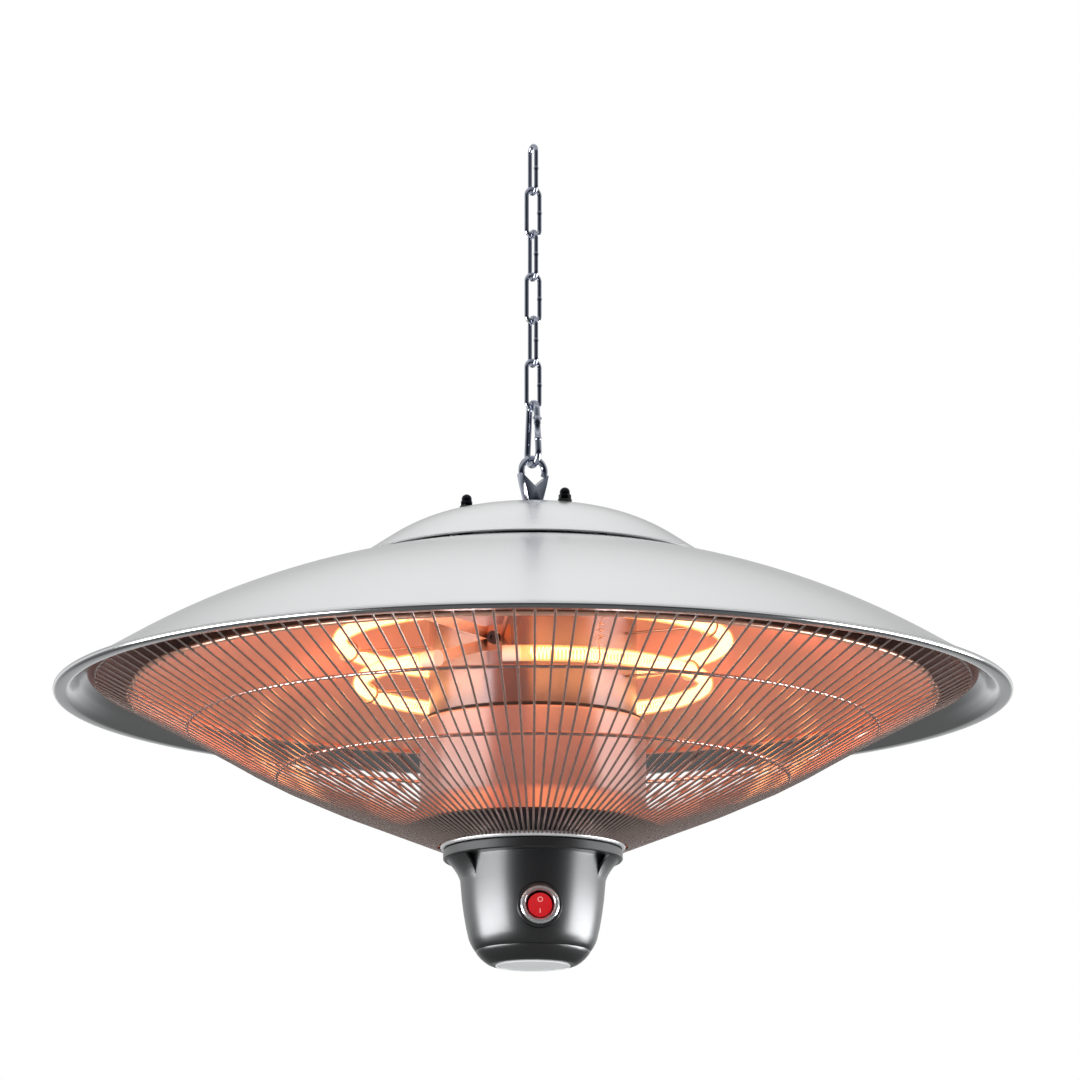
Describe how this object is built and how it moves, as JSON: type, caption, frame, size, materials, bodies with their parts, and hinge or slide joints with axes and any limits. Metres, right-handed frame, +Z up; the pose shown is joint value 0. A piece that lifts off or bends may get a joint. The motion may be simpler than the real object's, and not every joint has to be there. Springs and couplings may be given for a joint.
{
  "type": "hanging patio heater",
  "caption": "Hanging electric patio heater: silver dish on a chain, glowing quartz rings behind a wire guard, black switch housing below.",
  "frame": {"origin": "the bearing point inside the top chain link, where a ceiling hook carries the heater", "axes": "+Z up along the chain, -Y towards the front with the rocker switch, +X to the right of the front"},
  "size_m": [0.6, 0.6, 0.5277],
  "materials": {
    "chain_chrome": "chromed wire, bright",
    "silver_paint": "satin silver lacquer on spun aluminium",
    "black_nickel": "dark polished dome nuts",
    "black_rubber": "moulded, matt",
    "zinc_steel": "zinc plated",
    "polished_aluminium": "polished, warmed by the glow of the tubes",
    "black_steel": "black stove enamel",
    "quartz": "clear fused quartz tube",
    "glowing_filament": "resistance wire glowing yellow",
    "steatite": "fired ceramic, matt",
    "heat_tinted_steel": "bracket steel browned by heat",
    "guard_chrome": "chromed guard wire",
    "charcoal_plastic": "moulded, satin",
    "frosted_lens": "pale grey moulded lens",
    "circuit_board": "green board",
    "red_rocker": "moulded red"
  },
  "bodies": {
    "chain_link_1": {"chain_link_1": "chain_chrome"},
    "chain_link_2": {"chain_link_2": "chain_chrome"},
    "chain_link_3": {"chain_link_3": "chain_chrome"},
    "chain_link_4": {"chain_link_4": "chain_chrome"},
    "chain_link_5": {"chain_link_5": "chain_chrome"},
    "chain_link_6": {"chain_link_6": "chain_chrome"},
    "snap_hook": {"snap_hook_body": "chain_chrome", "gate_pin": "chain_chrome"},
    "hook_gate": {"snap_hook_gate": "chain_chrome"},
    "heater": {"lifting_eye": "chain_chrome", "hanger_stud": "zinc_steel", "stud_nuts": "zinc_steel", "hanger_plate": "zinc_steel", "tie_rods": "zinc_steel", "tie_rod_nuts": "zinc_steel", "terminal_block": "steatite", "top_cap": "silver_paint", "cap_studs": "zinc_steel", "cap_spacers": "zinc_steel", "cap_washers": "black_rubber", "cap_dome_nuts": "black_nickel", "cable_grommet": "black_rubber", "dish": "silver_paint", "inner_reflector": "polished_aluminium", "reflector_spacers": "zinc_steel", "reflector_column": "polished_aluminium", "lower_drum": "polished_aluminium", "base_pan": "black_steel", "upper_quartz_tube": "quartz", "lower_quartz_tube": "quartz", "upper_filament": "glowing_filament", "lower_filament": "glowing_filament", "upper_tube_end_caps": "steatite", "lower_tube_end_caps": "steatite", "tube_support_wires": "heat_tinted_steel", "tube_bracket": "heat_tinted_steel", "bracket_screw": "black_steel", "guard_wires": "guard_chrome", "guard_top_hoop": "guard_chrome", "guard_upper_hoop": "guard_chrome", "guard_lower_hoop": "guard_chrome", "guard_collar": "guard_chrome", "guard_clips": "zinc_steel", "switch_housing": "charcoal_plastic", "lower_cover": "charcoal_plastic", "lamp_lens": "frosted_lens", "receiver_board": "circuit_board", "control_board": "circuit_board", "control_relay": "charcoal_plastic", "housing_screws": "zinc_steel", "switch_barrel": "charcoal_plastic", "switch_bezel": "chain_chrome"},
    "switch_rocker": {"rocker": "red_rocker"}
  },
  "joints": [
    {"name": "link_2_swing", "type": "hinge", "parent": "chain_link_1", "child": "chain_link_2", "pos_m": [0, 0, -0.0296], "axis": [0.342, -0.9397, 0], "range_deg": [-25, 25]},
    {"name": "link_3_swing", "type": "hinge", "parent": "chain_link_2", "child": "chain_link_3", "pos_m": [0, 0, -0.0575], "axis": [0.9397, 0.342, 0], "range_deg": [-25, 25]},
    {"name": "link_4_swing", "type": "hinge", "parent": "chain_link_3", "child": "chain_link_4", "pos_m": [0, 0, -0.0854], "axis": [0.342, -0.9397, 0], "range_deg": [-25, 25]},
    {"name": "link_5_swing", "type": "hinge", "parent": "chain_link_4", "child": "chain_link_5", "pos_m": [0, 0, -0.1133], "axis": [0.9397, 0.342, 0], "range_deg": [-25, 25]},
    {"name": "link_6_swing", "type": "hinge", "parent": "chain_link_5", "child": "chain_link_6", "pos_m": [0, 0, -0.1412], "axis": [0.342, -0.9397, 0], "range_deg": [-25, 25]},
    {"name": "hook_swing", "type": "hinge", "parent": "chain_link_6", "child": "snap_hook", "pos_m": [0, 0, -0.1691], "axis": [0.9397, 0.342, 0], "range_deg": [-25, 25]},
    {"name": "heater_swing", "type": "hinge", "parent": "snap_hook", "child": "heater", "pos_m": [0, 0, -0.2054], "axis": [0.342, -0.9397, 0], "range_deg": [-25, 25]},
    {"name": "gate_hinge", "type": "hinge", "parent": "snap_hook", "child": "hook_gate", "pos_m": [0.00206, -0.00566, -0.1762], "axis": [0.9397, 0.342, 0], "range_deg": [0, 25], "stiffness_Nm_per_rad": 0.01, "springref_deg": -11.46},
    {"name": "rocker_tilt", "type": "hinge", "parent": "heater", "child": "switch_rocker", "pos_m": [0, -0.04086, -0.49111], "axis": [-1, 0, 0], "range_deg": [0, 14]}
  ]
}
